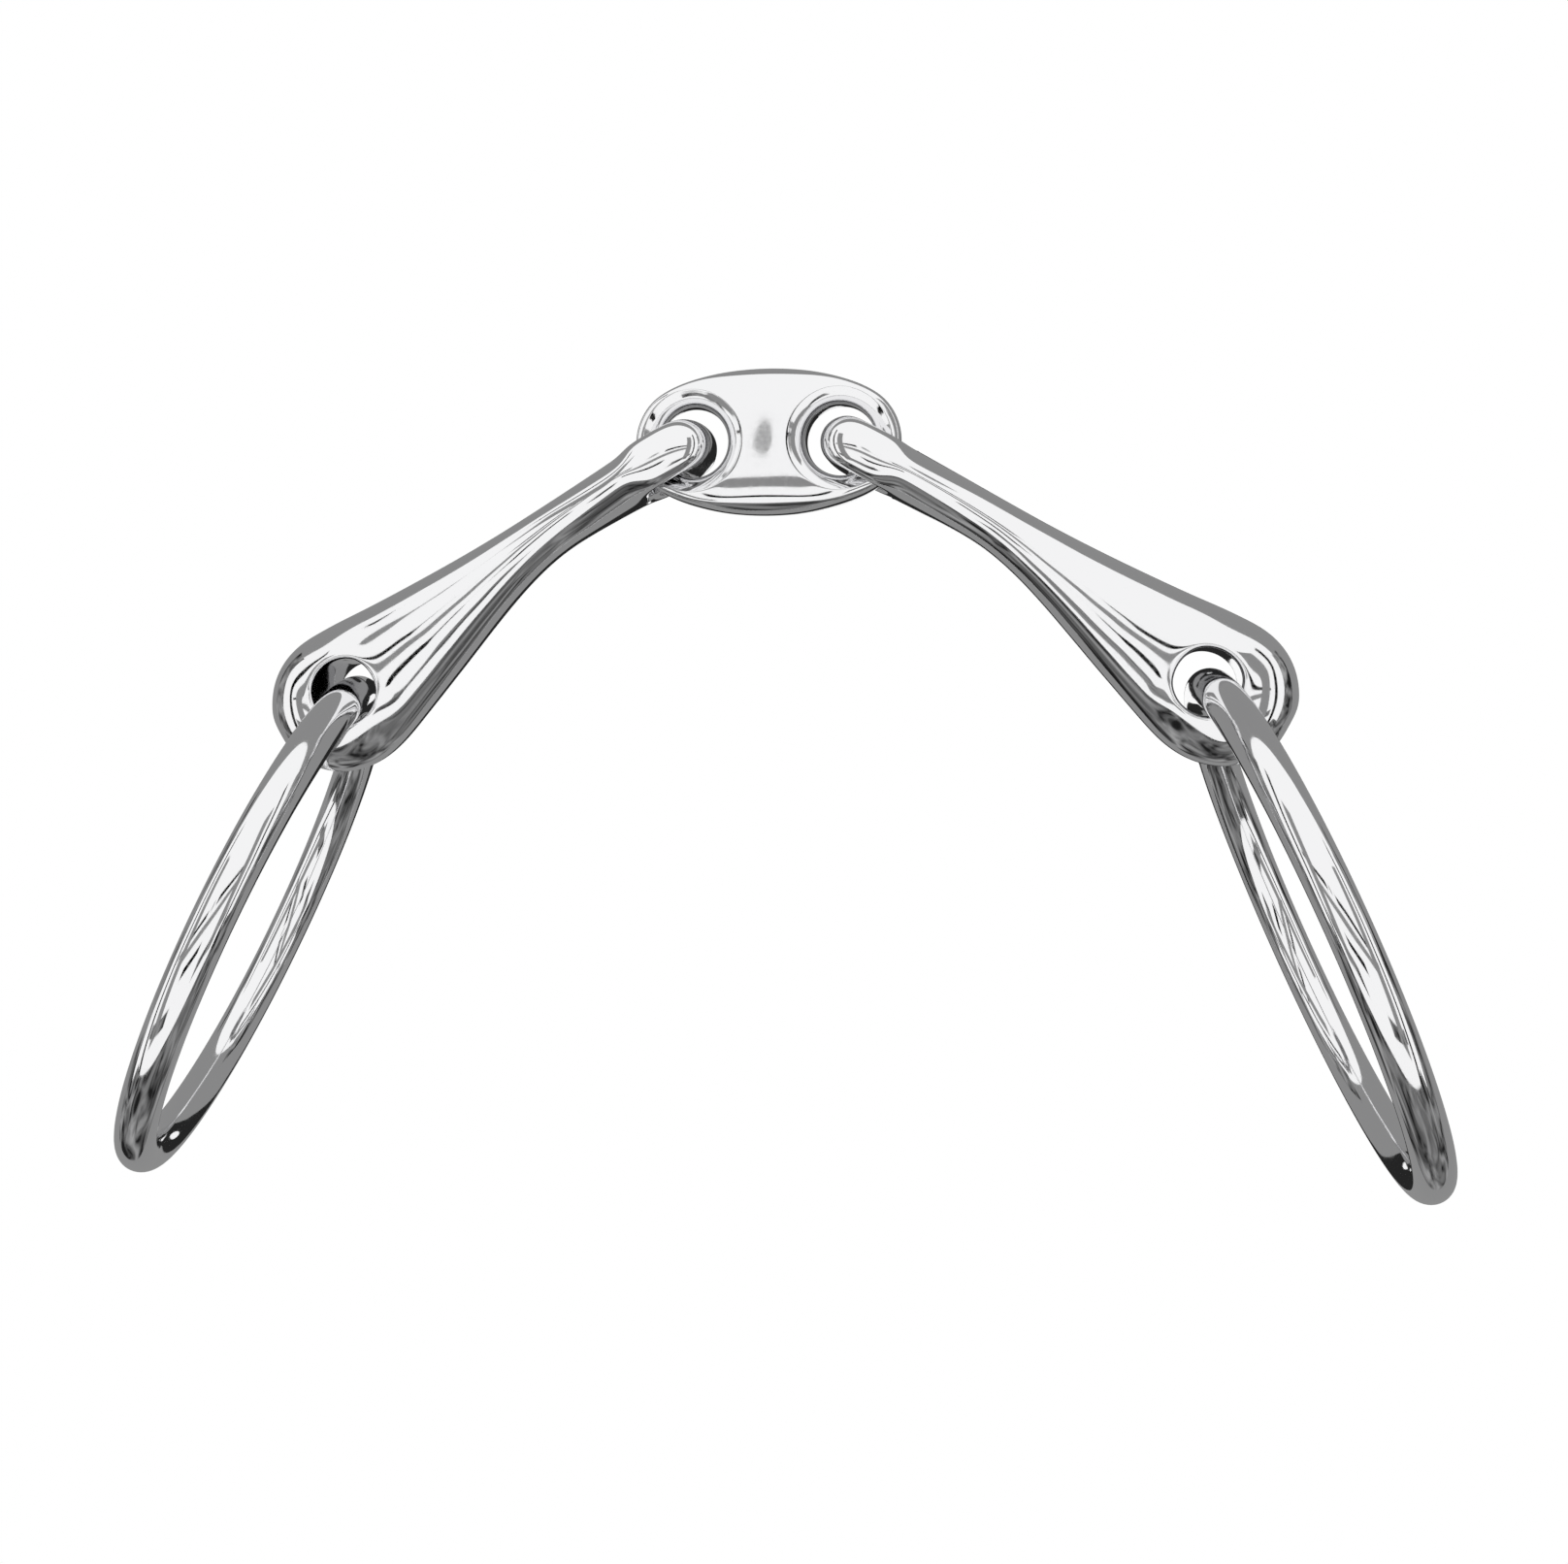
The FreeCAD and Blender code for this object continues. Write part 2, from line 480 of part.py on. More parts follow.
# ---------------------------------------------------------------- rings
def make_ring(label, side):
    """A ring of round bar, hanging on the outer edge of its hole in the cannon."""
    body = doc.addObject("PartDesign::Body", label)
    body.Label = label
    middle = (size("ring_outside") - size("ring_bar")) / 2
    section = new_sketch(body, "XZ_Plane", label + "_section")
    bar = circle(section, (middle, 0), size("ring_bar") / 2)
    section.addConstraint(Sketcher.Constraint("PointOnObject", bar, 3, -1))
    bind(section, "Radius", (bar,), size("ring_bar") / 2, "Sizes.ring_bar / 2")
    bind(section, "DistanceX", (-1, 1, bar, 3), middle, "(Sizes.ring_outside - Sizes.ring_bar) / 2")
    turned = body.newObject("PartDesign::Revolution", label + "_bar")
    turned.Profile = section
    turned.ReferenceAxis = (section, ["V_Axis"])
    turned.Angle = 360
    section.Visibility = False

    # where the ring hole is in the assembly
    hole_x, hole_z = hole_place()
    droop = math.radians(size("right_droop" if side > 0 else "left_droop"))
    place_x = size("hole_spacing") / 2 + hole_x * math.cos(droop) + hole_z * math.sin(droop)
    place_z = hole_z * math.cos(droop) - hole_x * math.sin(droop)
    # the bar curves and is turned inside the hole, so it touches at the two mouths
    half_depth = size("end_depth") * 0.42
    turn = math.radians(size("left_turn" if side < 0 else "right_turn"))
    curve = middle - math.sqrt(middle**2 - half_depth**2)
    room = (size("ring_hole") - size("ring_bar")) / 2 - size("play")
    slack = math.sqrt(room**2 - (half_depth * math.tan(turn)) ** 2) - curve
    lean_degrees = size("right_lean" if side > 0 else "left_lean")
    lean = math.radians(lean_degrees)
    down = FreeCAD.Vector(side * math.sin(lean), 0, -math.cos(lean))
    hole = FreeCAD.Vector(side * place_x, 0, place_z)
    upright = FreeCAD.Rotation(FreeCAD.Vector(0, 1, 0), 90 - side * lean_degrees)
    twist = FreeCAD.Rotation(down, -math.degrees(turn))
    body.Placement = FreeCAD.Placement(hole + down * (middle + slack), twist * upright)
    return body


# ---------------------------------------------------------------- assembly
bodies = [
    make_ring("left_ring", -1),
    make_cannon("left_cannon", -1),
    make_link(),
    make_cannon("right_cannon", 1),
    make_ring("right_ring", 1),
]
doc.recompute()

for item in doc.Objects:
    if "Invalid" in item.State or "Error" in item.State:
        raise RuntimeError(f"{item.Label}: {item.State}")

os.makedirs("parts", exist_ok=True)
for body in bodies:
    shape = body.Shape
    if shape.isNull() or not shape.isValid() or len(shape.Solids) != 1:
        raise RuntimeError(f"{body.Label}: bad shape")
    shape.exportStep(f"parts/{body.Label}.step")
    box = shape.BoundBox
    print(f"{body.Label}: {box.XLength:.1f} x {box.YLength:.1f} x {box.ZLength:.1f} mm, {shape.Volume:.0f} mm3")
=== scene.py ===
# %% [markdown]
# # A loose-ring snaffle bit, step by step
# The frame brings in the measured pieces of the bit. This lesson models a smooth
# version of each piece, polishes it, and lights it as a small product shot.

# %% Start from the frame
import json
import math

import bmesh
import bpy
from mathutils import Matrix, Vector


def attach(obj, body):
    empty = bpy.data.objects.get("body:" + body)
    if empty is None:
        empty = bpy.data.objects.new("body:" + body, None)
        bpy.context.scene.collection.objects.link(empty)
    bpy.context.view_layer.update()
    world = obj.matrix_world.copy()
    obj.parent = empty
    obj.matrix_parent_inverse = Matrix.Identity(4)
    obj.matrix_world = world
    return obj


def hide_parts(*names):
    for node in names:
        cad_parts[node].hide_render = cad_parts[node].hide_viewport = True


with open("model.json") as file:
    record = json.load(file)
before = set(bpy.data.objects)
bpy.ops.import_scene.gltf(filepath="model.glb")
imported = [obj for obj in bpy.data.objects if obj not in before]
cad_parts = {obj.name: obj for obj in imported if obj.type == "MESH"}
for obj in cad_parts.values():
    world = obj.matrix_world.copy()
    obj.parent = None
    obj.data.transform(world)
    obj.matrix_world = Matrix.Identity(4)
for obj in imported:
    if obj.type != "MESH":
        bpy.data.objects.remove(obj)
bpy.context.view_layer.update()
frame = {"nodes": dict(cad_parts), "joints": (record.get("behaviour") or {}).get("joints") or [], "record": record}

print("nodes:", ", ".join(frame["nodes"]))

# %% [markdown]
# ## Sizes
# The bit's sizes are in millimetres and are turned into metres when they are used.
# The points that its pieces turn about come from the frame's joints.

# %% Sizes and turning points
MM = 0.001
RING_BAR = 5.2  # across the round bar of a ring
RING_OUTSIDE = 71.4
JOINT = {joint["name"]: Vector(joint["pos_m"]) for joint in frame["joints"]}
for joint_name, place in JOINT.items():
    print(joint_name, "turns about", [round(v / MM, 2) for v in place])

# %% [markdown]
# ## Small tools
# Each one is a move that is also made by hand: choose a piece, select part of its
# mesh, move it, resize it or smooth it.

# %% Small tools
UPRIGHT = (math.pi / 2, 0, 0)  # turns a flat shape to face the front


def start_clean():
    """Nothing selected, nothing in edit mode."""
    if bpy.context.object and bpy.context.object.mode != "OBJECT":
        bpy.ops.object.mode_set(mode="OBJECT")
    bpy.ops.object.select_all(action="DESELECT")


def only(piece):
    """Makes one piece the selected and active one."""
    start_clean()
    piece.select_set(True)
    bpy.context.view_layer.objects.active = piece


def named(name):
    """Names the object that was just added, and its mesh."""
    piece = bpy.context.object
    piece.name = name
    piece.data.name = name
    return piece


def settle():
    """Writes the object's place, turn and scale into its mesh."""
    bpy.ops.object.transform_apply(location=True, rotation=True, scale=True)


def open_mesh():
    """Goes into edit mode with the whole mesh selected."""
    bpy.ops.object.mode_set(mode="EDIT")
    bpy.ops.mesh.select_all(action="SELECT")


def close_mesh():
    bpy.ops.object.mode_set(mode="OBJECT")


def middle_of(part):
    """The middle of a vertex, an edge or a face, in millimetres."""
    if isinstance(part, bmesh.types.BMVert):
        return part.co / MM
    if isinstance(part, bmesh.types.BMEdge):
        return (part.verts[0].co + part.verts[1].co) / 2 / MM
    return part.calc_center_median() / MM


def pick(test, mode="VERT", border=False):
    """In edit mode, selects the parts whose middle passes a test, and counts them.

    The parts are vertices, edges or faces. With border, only edges that have a
    face on one side can pass.
    """
    bpy.ops.mesh.select_mode(type=mode)
    bpy.ops.mesh.select_all(action="DESELECT")
    mesh = bmesh.from_edit_mesh(bpy.context.object.data)
    parts = {"VERT": mesh.verts, "EDGE": mesh.edges, "FACE": mesh.faces}[mode]
    found = [p for p in parts if test(middle_of(p)) and (not border or p.is_boundary)]
    for part in found:
        part.select = True
    mesh.select_flush_mode()
    bmesh.update_edit_mesh(bpy.context.object.data)
    return len(found)


def move(x=0.0, y=0.0, z=0.0):
    bpy.ops.transform.translate(value=(x * MM, y * MM, z * MM))


def scale(x=1.0, y=1.0, z=1.0, centre=(0, 0, 0)):
    middle = tuple(c * MM for c in centre)
    bpy.ops.transform.resize(value=(x, y, z), center_override=middle)


def smooth(piece, levels):
    """A subdivision surface, applied, and smooth shading."""
    only(piece)
    modifier = piece.modifiers.new("Subdivision", "SUBSURF")
    modifier.levels = levels
    modifier.render_levels = levels
    bpy.ops.object.modifier_apply(modifier=modifier.name)
    bpy.ops.object.shade_smooth()


def outward(piece):
    """Turns all the faces of a closed mesh outwards."""
    only(piece)
    open_mesh()
    bpy.ops.mesh.normals_make_consistent(inside=False)
    close_mesh()


# %% [markdown]
# ## Polished steel
# Stainless steel, forged, ground and then buffed by hand to a mirror. The hand
# leaves the surface very slightly wavy, so reflections wander, and the buffing
# wheel leaves fine marks that soften them a little.

# %% Polished steel
def linear(hex_colour):
    """A colour written in sRGB hex, as the linear values that nodes use."""
    channels = [int(hex_colour[i : i + 2], 16) / 255 for i in (0, 2, 4)]
    linear_ones = [c / 12.92 if c <= 0.04045 else ((c + 0.055) / 1.055) ** 2.4 for c in channels]
    return (*linear_ones, 1.0)


def add_node(tree, kind, settings=None, values=None, links=None):
    """Adds a node with its settings, its socket values and what feeds its sockets."""
    node = tree.nodes.new(kind)
    for name, value in (settings or {}).items():
        setattr(node, name, value)
    for name, value in (values or {}).items():
        node.inputs[name].default_value = value
    for name, source in (links or {}).items():
        tree.links.new(source, node.inputs[name])
    return node


def polished_steel():
    """Mirror-buffed stainless steel: bright, faintly wavy, with a fine haze of marks."""
    steel = bpy.data.materials.new("mirror_polished_stainless_steel")
    steel.use_nodes = True
    tree = steel.node_tree
    shader = tree.nodes["Principled BSDF"]
    place = add_node(tree, "ShaderNodeTexCoord")
    # the hand's waviness: swells about 9 mm long and at most 0.13 mm high
    swell = add_node(
        tree,
        "ShaderNodeTexNoise",
        values={"Scale": 110.0, "Detail": 1.0, "Roughness": 0.4},
        links={"Vector": place.outputs["Object"]},
    )
    wavy = add_node(
        tree,
        "ShaderNodeBump",
        values={"Strength": 1.0, "Distance": 0.00013},
        links={"Height": swell.outputs["Fac"]},
    )
    # buffing marks are a few hundredths of a millimetre wide; this haze is coarser,
    # from 0.6 mm down to 0.08 mm, to show at all
    haze = add_node(
        tree,
        "ShaderNodeTexNoise",
        values={"Scale": 1600.0, "Detail": 3.0, "Roughness": 0.6},
        links={"Vector": place.outputs["Object"]},
    )
    gloss = add_node(
        tree,
        "ShaderNodeMapRange",
        values={"From Min": 0.3, "From Max": 0.8, "To Min": 0.035, "To Max": 0.11},
        links={"Value": haze.outputs["Fac"]},
    )
    shader.inputs["Base Color"].default_value = linear("F3F3F4")
    shader.inputs["Metallic"].default_value = 1.0
    tree.links.new(gloss.outputs["Result"], shader.inputs["Roughness"])
    tree.links.new(wavy.outputs["Normal"], shader.inputs["Normal"])
    return steel


STEEL = polished_steel()


def finish_piece(piece, body, node):
    """Gives a piece its steel and its body, and hides the frame's node that it stands for."""
    piece.data.materials.clear()
    piece.data.materials.append(STEEL)
    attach(piece, body)
    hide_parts(node)
    print(piece.name, len(piece.data.polygons), "faces")


# %% [markdown]
# ## Rings
# A ring is a round bar spun round the ring's middle. It hangs in its hole in the
# cannon, where the frame put it.

# %% Rings
BAR_CORNERS = 48  # round the bar
RING_STEPS = 256  # round the ring


def make_ring(name, mount_name):
    """A bar's round section, spun once round the ring's own axis."""
    mount = next(m for m in frame["record"]["mounts"] if m["name"] == mount_name)
    middle = (RING_OUTSIDE - RING_BAR) / 2
    start_clean()
    bpy.ops.mesh.primitive_circle_add(
        vertices=BAR_CORNERS,
        radius=RING_BAR / 2 * MM,
        location=(middle * MM, 0, 0),
        rotation=UPRIGHT,
    )
    ring = named(name)
    settle()
    open_mesh()
    bpy.ops.mesh.spin(steps=RING_STEPS, angle=2 * math.pi, center=(0, 0, 0), axis=(0, 0, 1))
    bpy.ops.mesh.select_all(action="SELECT")
    bpy.ops.mesh.remove_doubles(threshold=0.01 * MM)
    close_mesh()
    ring.rotation_mode = "QUATERNION"
    ring.rotation_quaternion = Vector((0, 0, 1)).rotation_difference(Vector(mount["axis"]))
    ring.location = mount["pos_m"]
    only(ring)
    settle()
    bpy.ops.object.shade_smooth()
    outward(ring)
    return ring


finish_piece(make_ring("ring_left", "left_ring_loop"), "left_loop", "left_ring")
finish_piece(make_ring("ring_right", "right_ring_loop"), "right_loop", "right_ring")


# %% [markdown]
# ## Shaping tools
# A piece grows from an open loop of edges: push it out, then move and resize it.
# Only an eighth of the link and the front half of a cannon are shaped; mirrors
# add the rest, as both pieces are taken to be the same on either side.

# %% Shaping tools
ROUND = 1.026  # a loop of sixteen corners shrinks by this much when it is smoothed
NO_SIZE = 1e-4  # a loop that is thinner than this one way isn't resized that way
SAME_PLACE = 0.05  # a corner this near to a place is at that place
SMOOTH_LEVELS = 3


def push():
    """Extrudes the selected edges in place, ready to be moved."""
    bpy.ops.mesh.extrude_edges_move(TRANSFORM_OT_translate={"value": (0, 0, 0)})


def span():
    """Middle of the selected vertices' box and half its size, in millimetres."""
    mesh = bmesh.from_edit_mesh(bpy.context.object.data)
    chosen = [v.co / MM for v in mesh.verts if v.select]
    low = Vector([min(v[i] for v in chosen) for i in range(3)])
    high = Vector([max(v[i] for v in chosen) for i in range(3)])
    return (low + high) / 2, (high - low) / 2


def fit(middle, half_x=None, half_y=None, half_z=None):
    """Moves and resizes the selected loop to a middle and half sizes."""
    centre, half = span()
    bpy.ops.transform.translate(value=tuple((Vector(middle) - centre) * MM))
    wanted = (half_x, half_y, half_z)
    factors = [w / h if w is not None and h > NO_SIZE else 1.0 for w, h in zip(wanted, half)]
    scale(*factors, centre=middle)


def turn(degrees, centre):
    """Turns the selection about an upright line through a centre."""
    middle = tuple(c * MM for c in centre)
    bpy.ops.transform.rotate(
        value=math.radians(degrees), orient_axis="Z", center_override=middle
    )


def put(old, new):
    """Moves the one vertex at the old place to the new place."""
    found = pick(lambda p: (p - Vector(old)).length < SAME_PLACE)
    if found != 1:
        raise RuntimeError(f"{found} vertices at {old}")
    move(*(Vector(new) - Vector(old)))


def mirrored(piece, x=False, y=False, z=False):
    """A mirror across the piece's own middle planes, applied."""
    only(piece)
    modifier = piece.modifiers.new("Mirror", "MIRROR")
    modifier.use_axis = (x, y, z)
    modifier.use_clip = True
    modifier.merge_threshold = 0.01 * MM
    bpy.ops.object.modifier_apply(modifier=modifier.name)


# %% [markdown]
# ## A cannon: its sizes
# Each cannon is forged from one bar: an eye of two strands closes round the
# link's rim, a slim neck follows, and the blade broadens to a rounded end with
# the ring's hole in it. It is drawn level, from the link's hole outwards.

# %% A cannon: its sizes
BAR_RADIUS = 3.35  # the round bar inside the link's hole
BAR_X = 0.85  # the bar's middle, a little out from the hole's
EYE_IN = 2.8  # the strands' inner and outer sides, from the middle plane
EYE_OUT = 7.1
CROTCH_X = 9.3  # where the two strands part
BEND_X = 22.0
BEND = math.radians(9.1)  # the blade droops by this much past the neck
BLADE = 33.6  # from the bend to the ring hole
HOLE_X = BEND_X + BLADE * math.cos(BEND)
HOLE_Z = -BLADE * math.sin(BEND)

# distance out, height of the middle, half depth and half height of each loop
NECK_AND_END = [
    (12.0, 0.0, 6.35, 3.3),
    (16.5, 0.0, 5.1, 3.2),
    (22.0, -0.1, 4.45, 3.15),
    (28.0, -0.85, 4.6, 3.75),
    (34.5, -2.0, 5.1, 4.95),
    (41.5, -3.3, 5.7, 6.5),
    (HOLE_X - 6.3, -4.5, 6.15, 8.1),
    (HOLE_X - 3.2, -4.95, 6.4, 8.85),
    (HOLE_X, -5.31, 6.6, 9.35),
    (HOLE_X + 3.2, -5.31, 6.6, 9.4),
    (HOLE_X + 6.3, -5.31, 6.1, 8.6),
    (HOLE_X + 9.0, -5.31, 4.9, 6.8),
    (HOLE_X + 10.8, -5.31, 3.1, 4.4),
]
TIP_X = HOLE_X + 10.7  # past this lie only the corners that close the end
TIP_CORE = (2.2, 3.2)  # its inner corners lie inside this half depth and half height
TIP_BULGE = 0.75  # and they stand out by this, so that the end is round
# the front strand's first two loops, then the middle, turn in degrees and half
# width of each loop on its way round the bend
STRAND_X = (7.2, 4.6)
STRAND_BEND = [
    (2.45, -4.85, 32, 2.4),
    (1.1, -4.0, 28, 2.95),
    (BAR_X, -2.5, 30, BAR_RADIUS),
]
# radius and place in depth of each loop of the ring hole, from the mouth inwards
RING_HOLE = [(4.75, -6.1), (4.42, -5.95), (4.2, -5.5), (4.15, -4.4), (4.15, 0.0)]
HOLE_FACES = (5.5, 6.3)  # half width and half height round the faces taken away
HOLE_EDGE = (6.5, 7.2)  # and round the edge that they leave
print("ring hole", round(HOLE_X, 2), "mm out and", round(-HOLE_Z, 2), "mm down")


# %% [markdown]
# ## A cannon: neck and end
# Sixteen corners in a loop, pushed out and resized from the crotch to the tip.

# %% A cannon: neck and end
def neck_and_end():
    fit((CROTCH_X, 0, 0), half_y=EYE_OUT * ROUND, half_z=BAR_RADIUS * ROUND)
    for out, height, deep, high in NECK_AND_END:
        push()
        fit((out, 0, height), half_y=deep * ROUND, half_z=high * ROUND)
    bpy.ops.mesh.fill_grid(span=4, offset=2)
    deep, high = TIP_CORE
    pick(lambda p: p.x > TIP_X and abs(p.y) < deep and abs(p.z - HOLE_Z) < high)
    move(x=TIP_BULGE)


# %% [markdown]
# ## A cannon: eye
# An upright edge divides the loop at the crotch. The front half is pushed towards
# the link, turned inwards, and flattened where its mirrored twin will meet it.

# %% A cannon: eye
def at_crotch(p):
    """On the loop where the strands part, on its front half or in its middle."""
    return abs(p.x - CROTCH_X) < SAME_PLACE and p.y < SAME_PLACE


def front_strand():
    pick(lambda p: at_crotch(p) and p.y > -SAME_PLACE)
    bpy.ops.mesh.edge_face_add()
    bpy.ops.mesh.subdivide(number_cuts=7)
    pick(at_crotch, "EDGE")

    middle = -(EYE_IN + EYE_OUT) / 2
    half = (EYE_OUT - EYE_IN) / 2
    push()
    bpy.ops.transform.tosphere(value=1.0)
    fit((STRAND_X[0], middle, 0), half_y=half * ROUND, half_z=BAR_RADIUS * ROUND)
    push()
    fit((STRAND_X[1], middle, 0))
    for x, y, degrees, wide in STRAND_BEND:
        push()
        centre, size = span()
        wider = wide * ROUND / math.hypot(size.x, size.y)
        scale(x=wider, y=wider, centre=centre)
        turn(degrees, centre)
        fit((x, y, 0), half_z=BAR_RADIUS * ROUND)

    end = STRAND_BEND[-1][:2]
    fit((*end, 0), half_x=BAR_RADIUS * ROUND)
    scale(y=0.0, centre=(*end, 0))
    push()
    fit((BAR_X, 0, 0))


# %% [markdown]
# ## A cannon: ring hole
# A few faces of the front are taken away. The edge that is left is made round,
# and it is pushed in to the middle plane with a small rounded lip.

# %% A cannon: ring hole
def round_hole(p, out, high):
    """On the front, in a rectangle round the ring hole."""
    return p.y < -0.5 and abs(p.x - HOLE_X) < out and abs(p.z - HOLE_Z) < high


def ring_hole():
    pick(lambda p: round_hole(p, *HOLE_FACES), "FACE")
    bpy.ops.mesh.delete(type="FACE")
    pick(lambda p: round_hole(p, *HOLE_EDGE), "EDGE", border=True)
    for step, (radius, y) in enumerate(RING_HOLE):
        push()
        if step == 0:
            scale(y=0.0, centre=(HOLE_X, y, HOLE_Z))
            bpy.ops.transform.tosphere(value=1.0)
        fit((HOLE_X, y, HOLE_Z), half_x=radius * ROUND, half_z=radius * ROUND)


# %% [markdown]
# ## A cannon: all of it
# The front half is drawn, whatever is behind the middle plane is cut away, and a
# mirror adds the back.

# %% A cannon: all of it
def make_cannon(name):
    start_clean()
    bpy.ops.mesh.primitive_circle_add(vertices=16, radius=3 * MM, rotation=(0, math.pi / 2, 0))
    cannon = named(name)
    settle()
    open_mesh()
    neck_and_end()
    front_strand()
    ring_hole()
    bpy.ops.mesh.select_all(action="SELECT")
    bpy.ops.mesh.bisect(
        plane_co=(0, 0, 0), plane_no=(0, 1, 0), clear_outer=True, threshold=0.001 * MM
    )
    close_mesh()
    mirrored(cannon, y=True)
    smooth(cannon, SMOOTH_LEVELS)
    outward(cannon)
    return cannon


right_cannon = make_cannon("cannon_right")
only(right_cannon)
bpy.ops.object.duplicate()
left_cannon = named("cannon_left")
print("two cannons of", len(right_cannon.data.polygons), "faces")


# %% [markdown]
# ## Both cannons in place
# The left cannon is the right one's copy, mirrored. Each is turned down about its
# hole in the link until its ring hole is where the frame has it.

# %% Both cannons in place
def placed(cannon, pivot, ring_hole_place, side):
    """Turns a level cannon down about its pivot, on the right (1) or left (-1)."""
    reach = (ring_hole_place - pivot) / MM
    droop = math.atan2(-reach.z, side * reach.x) - math.atan2(-HOLE_Z, HOLE_X)
    cannon.scale = (side, 1, 1)
    cannon.rotation_euler = (0, side * droop, 0)
    cannon.location = pivot
    only(cannon)
    settle()
    outward(cannon)
    print(cannon.name, "hangs at", round(math.degrees(droop), 1), "degrees")


placed(right_cannon, JOINT["right_cannon_droop"], JOINT["right_ring_swing"], 1)
placed(left_cannon, JOINT["left_cannon_droop"], JOINT["left_ring_swing"], -1)
finish_piece(left_cannon, "left_side", "left_cannon")
finish_piece(right_cannon, "right_side", "right_cannon")


# %% [markdown]
# ## Centre link: its sizes
# The real link is a forged lozenge with a round dish worn smooth round each of
# its two holes. An eighth of it starts as a small grid, and these tables say where
# the grid's corners go.

# %% Centre link: its sizes
LINK_HALF_LENGTH = 17.25
LINK_HALF_HEIGHT = 9.5
LINK_HALF_DEPTH = 3.8
LINK_END_RADIUS = 7.6
LINK_FACE_RADIUS = 63.2  # the face is a shallow curve, seen from above
DISH_X = 9.5  # the middle of a hole and of the dish round it
DISH_RADIUS = 6.6
DISH_LIMIT = DISH_RADIUS * 1.018  # the dish's own edges lie inside this distance
ASIDE = Vector((30, 0, 0))  # moved corners wait here, so that none is found twice
AT_MIRROR = 0.05  # an edge this near a mirror plane stays open for the mirror

# corners of the grid, two millimetres apart, round the hole from left to right
OPENING = [(2, 0), (2, 2), (2, 4), (4, 4), (6, 4), (8, 4), (10, 4), (10, 2), (10, 0)]
OPENING_STEP = 22.5  # degrees from one to the next
# corners along the middle line: height in the grid and height on the link
MIDDLE_LINE = [(0, 0), (2, 2.7), (4, 5.4)]
# corners along the outline, from the top's middle to the right end: place in the
# grid, distance out, and the share of the outline's height that the face reaches
OUTLINE = [
    ((0, 6), 0, 0.77),
    ((2, 6), 3.9, 0.80),
    ((4, 6), 6.6, 0.87),
    ((6, 6), 9.4, 0.92),
    ((8, 6), 12.2, 0.93),
    ((10, 6), 14.4, 0.93),
    ((12, 6), 15.6, 0.93),
    ((12, 4), 16.5, 0.93),
    ((12, 2), 17.05, 0.93),
    ((12, 0), 17.25, 0.93),
]
FACE_LENGTH = 0.978  # the face's share of the distance out
FACE_EDGE_DEPTH = 0.93  # how deep the face's edge lies, as a share of the face there
ROLL_BACK = (25, 50, 72, 90)  # degrees the outer edge has turned at each new loop
# width and depth of each loop that rolls into the hole, as shares of the one before
ROLL_IN = [
    (0.985, 0.992),
    (0.965, 0.97),
    (0.9, 0.92),
    (0.885, 0.85),
    (0.925, 0.7),
    (0.967, 0.5),
    (1, 0),
]


def link_face(x):
    """How far forward the link's face is, seen from above."""
    return -(LINK_HALF_DEPTH - LINK_FACE_RADIUS + math.sqrt(LINK_FACE_RADIUS**2 - x**2))


def link_outline(x):
    """Half the link's height at a distance from its middle.

    The long sides are one wide arc each, and the ends are tighter arcs.
    """
    end_x = LINK_HALF_LENGTH - LINK_END_RADIUS
    side = (end_x**2 + LINK_HALF_HEIGHT**2 - LINK_END_RADIUS**2) / (
        2 * (LINK_HALF_HEIGHT - LINK_END_RADIUS)
    )
    side_z = side - LINK_HALF_HEIGHT
    if math.atan2(math.sqrt(side**2 - x**2), x) > math.atan2(side_z, end_x):
        return math.sqrt(side**2 - x**2) - side_z
    return math.sqrt(max(LINK_END_RADIUS**2 - (x - end_x) ** 2, 0))


print("link:", 2 * LINK_HALF_LENGTH, "by", 2 * LINK_HALF_HEIGHT, "by", 2 * LINK_HALF_DEPTH, "mm")

# %% [markdown]
# ## Centre link: its shape
# The grid's corners move to the outline and to half a circle round the hole. Then
# the outer edge rolls back to the middle plane and the dish rolls into the hole.

# %% Centre link: its shape
def off_hole(p):
    """How far a point is from the middle of the hole."""
    return math.hypot(p.x - DISH_X, p.z)


def link_front():
    """Moves the grid's corners into the eighth's face, and gives its outer edge."""
    outer = []
    for (x, z), far, share in OUTLINE:
        new_x = far * FACE_LENGTH
        new_y = link_face(new_x) * FACE_EDGE_DEPTH
        outer.append(Vector((new_x, new_y, link_outline(far) * share)))
        put((x, 0, z), outer[-1] + ASIDE)
    for step, (x, z) in enumerate(OPENING):
        angle = math.radians(180 - OPENING_STEP * step)
        new_x = DISH_X + DISH_RADIUS * ROUND * math.cos(angle)
        new_z = DISH_RADIUS * ROUND * math.sin(angle)
        put((x, 0, z), (new_x + ASIDE.x, link_face(new_x), new_z))
    for z, new_z in MIDDLE_LINE:
        put((0, 0, z), (ASIDE.x, link_face(0), new_z))
    bpy.ops.mesh.select_all(action="SELECT")
    move(x=-ASIDE.x)
    return outer


def rolled_back(outer, degrees):
    """The outer edge's corners, part of the way round to the middle plane."""
    out, back = math.sin(math.radians(degrees)), math.cos(math.radians(degrees))
    rolled = []
    for start, (_, far, _) in zip(outer, OUTLINE):
        corner = start.lerp(Vector((far, 0, link_outline(far))), out)
        corner.y = start.y * back
        rolled.append(corner)
    return rolled


def on_outer_edge(p):
    return off_hole(p) > DISH_LIMIT and p.x > AT_MIRROR and p.z > AT_MIRROR


def on_dish_edge(p):
    return off_hole(p) < DISH_LIMIT and p.z > AT_MIRROR


